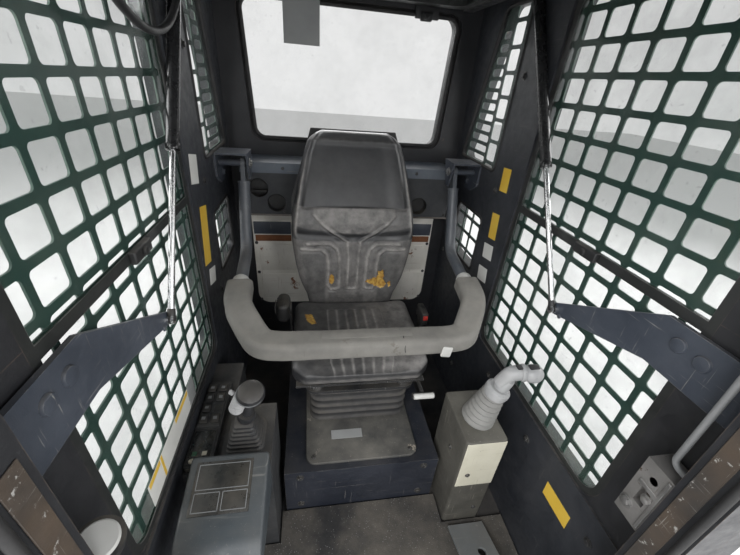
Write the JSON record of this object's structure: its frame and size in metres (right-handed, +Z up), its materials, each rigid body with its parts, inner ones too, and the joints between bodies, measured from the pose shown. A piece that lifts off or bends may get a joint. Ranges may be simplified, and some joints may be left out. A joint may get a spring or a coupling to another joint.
{
  "type": "skid steer loader cab",
  "caption": "Operator's cab of a skid steer loader: guarded frame, suspension seat on a slide, swing-up padded lap bar, side consoles and a stowed overhead door.",
  "frame": {"origin": "under the middle of the cab, on the plane its floor pan stands on", "axes": "+Z up, -Y towards the door opening that the operator faces, +X to the operator's left"},
  "size_m": [1.01, 1.38, 1.6],
  "materials": {
    "frame_paint": "semi-gloss",
    "liner_paint": "satin, scuffed",
    "guard_paint": "satin",
    "bracket_paint": "satin, scratched",
    "riser_paint": "satin",
    "cover_paint": "matte",
    "mat_rubber": "speckled",
    "seal_rubber": "matte",
    "bellows_rubber": "matte",
    "boot_rubber": "matte",
    "hose_rubber": "matte",
    "clear_glass": "clear",
    "tinted_glass": "green tint",
    "headliner_vinyl": "matte",
    "duct_plastic": "grained",
    "cap_plastic": "satin",
    "black_steel": "satin",
    "bare_steel": "polished",
    "seat_vinyl": "worn vinyl",
    "shell_plastic": "grained",
    "belt_plastic": "grained",
    "bar_paint": "satin, worn",
    "bar_foam": "worn foam",
    "strut_paint": "gloss",
    "window_black": "satin",
    "tan_plastic": "faded",
    "console_plastic": "grained",
    "pod_plastic": "grained",
    "pedal_steel": "worn",
    "latch_steel": "worn",
    "grip_plastic": "satin"
  },
  "bodies": {
    "cab": {"floor_pan": "frame_paint", "floor_mat": "mat_rubber", "front_frame": "frame_paint", "rear_frame": "frame_paint", "rear_seal": "seal_rubber", "rear_glass": "clear_glass", "roof_shell": "frame_paint", "headliner": "headliner_vinyl", "quarter_glass": "clear_glass", "side_glass": "tinted_glass", "duct_box": "duct_plastic", "air_outlets": "shell_plastic", "duct_cap": "cap_plastic", "rear_cover": "cover_paint", "seat_riser": "riser_paint", "suspension_base": "black_steel", "suspension_bellows": "bellows_rubber", "suspension_top": "black_steel", "seat_rails": "bare_steel", "strut_rods": "bare_steel", "strut_cylinders": "strut_paint", "door_frame": "window_black", "door_glass": "clear_glass", "door_tracks": "black_steel", "left_console": "tan_plastic", "right_console": "console_plastic", "side_console": "console_plastic", "switch_panel": "console_plastic", "monitor_pod": "pod_plastic", "foot_pedal": "pedal_steel", "door_latch": "latch_steel", "grab_handle": "black_steel", "door_hose": "hose_rubber", "control_boots": "boot_rubber", "control_grips": "grip_plastic", "side_frame_left": "frame_paint", "side_liner_left": "liner_paint", "window_frame_left": "window_black", "side_guard_left": "guard_paint", "quarter_guards_left": "guard_paint", "pivot_bracket_left": "bracket_paint", "strut_bracket_left": "bracket_paint", "side_frame_right": "frame_paint", "side_liner_right": "liner_paint", "window_frame_right": "window_black", "side_guard_right": "guard_paint", "quarter_guards_right": "guard_paint", "pivot_bracket_right": "bracket_paint", "strut_bracket_right": "bracket_paint"},
    "lap_bar": {"lap_bar_tube": "bar_paint", "lap_bar_pad": "bar_foam"},
    "seat": {"seat_pan": "black_steel", "seat_cushion": "seat_vinyl", "seat_backrest": "seat_vinyl", "seat_back_shell": "shell_plastic", "belt_retractor": "belt_plastic", "belt_buckle": "belt_plastic", "seat_lever": "black_steel"}
  },
  "joints": [
    {"name": "lap_bar_swing", "type": "hinge", "parent": "cab", "child": "lap_bar", "pos_m": [0, 0.392, 0.985], "axis": [-1, 0, 0], "range_deg": [0, 80]},
    {"name": "seat_slide", "type": "slide", "parent": "cab", "child": "seat", "axis": [0, 1, 0], "range_m": [-0.08, 0.03]}
  ]
}
